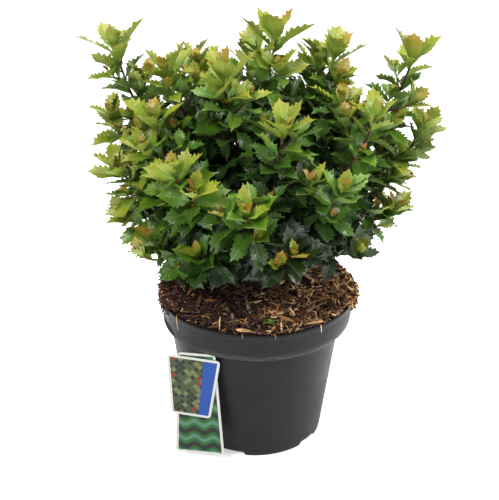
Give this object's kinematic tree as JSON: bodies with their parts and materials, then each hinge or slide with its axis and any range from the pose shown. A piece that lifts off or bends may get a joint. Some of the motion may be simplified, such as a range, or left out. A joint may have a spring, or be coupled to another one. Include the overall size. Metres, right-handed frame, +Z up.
{
  "type": "potted holly shrub",
  "caption": "Compact bushy holly with spiny leaves in a round nursery pot that stands on its flat feet, with plain plant labels.",
  "frame": {"origin": "on the ground plane, under the middle of the pot, on the flat underside of its floor pad", "axes": "+Z up the stem, -Y towards the front of the plant, +X to the right as seen from the front"},
  "size_m": [0.346, 0.3215, 0.4243],
  "materials": {
    "pot_plastic": "dark grey moulded nursery-pot plastic, slightly dusty",
    "bark_mulch": "coarse shredded bark and wood fibre, dark to orange brown",
    "label_card": "thin glossy printed plastic card",
    "bark": "dark purple-brown young bark",
    "leaves": "glossy dark to light green spiny leaves, bronze at the shoot tips"
  },
  "bodies": {
    "root": {"bough_back": "bark", "bough_back_left": "bark", "bough_back_right": "bark", "bough_centre": "bark", "bough_front": "bark", "bough_front_left": "bark", "bough_front_right": "bark", "bough_left": "bark", "bough_left_low": "bark", "bough_right": "bark", "bough_right_low": "bark", "foliage_back_left_low": "leaves", "foliage_back_left_mid": "leaves", "foliage_back_left_upper": "leaves", "foliage_back_low": "leaves", "foliage_back_mid": "leaves", "foliage_back_right_low": "leaves", "foliage_back_right_mid": "leaves", "foliage_back_right_upper": "leaves", "foliage_back_upper": "leaves", "foliage_centre_left": "leaves", "foliage_centre_rear": "leaves", "foliage_centre_top": "leaves", "foliage_front_left_low": "leaves", "foliage_front_left_mid": "leaves", "foliage_front_left_side": "leaves", "foliage_front_left_upper": "leaves", "foliage_front_low": "leaves", "foliage_front_mid": "leaves", "foliage_front_right_low": "leaves", "foliage_front_right_mid": "leaves", "foliage_front_right_upper": "leaves", "foliage_front_upper": "leaves", "foliage_left_low_low": "leaves", "foliage_left_low_mid": "leaves", "foliage_left_low_outer": "leaves", "foliage_left_rear": "leaves", "foliage_left_tall": "leaves", "foliage_left_upper": "leaves", "foliage_right_inner": "leaves", "foliage_right_low_low": "leaves", "foliage_right_low_mid": "leaves", "foliage_right_low_rear": "leaves", "foliage_right_tall": "leaves", "foliage_right_upper": "leaves", "growing_mix": "bark_mulch", "label_back": "label_card", "label_front": "label_card", "main_stem": "bark", "pot": "pot_plastic"}
  },
  "joints": []
}
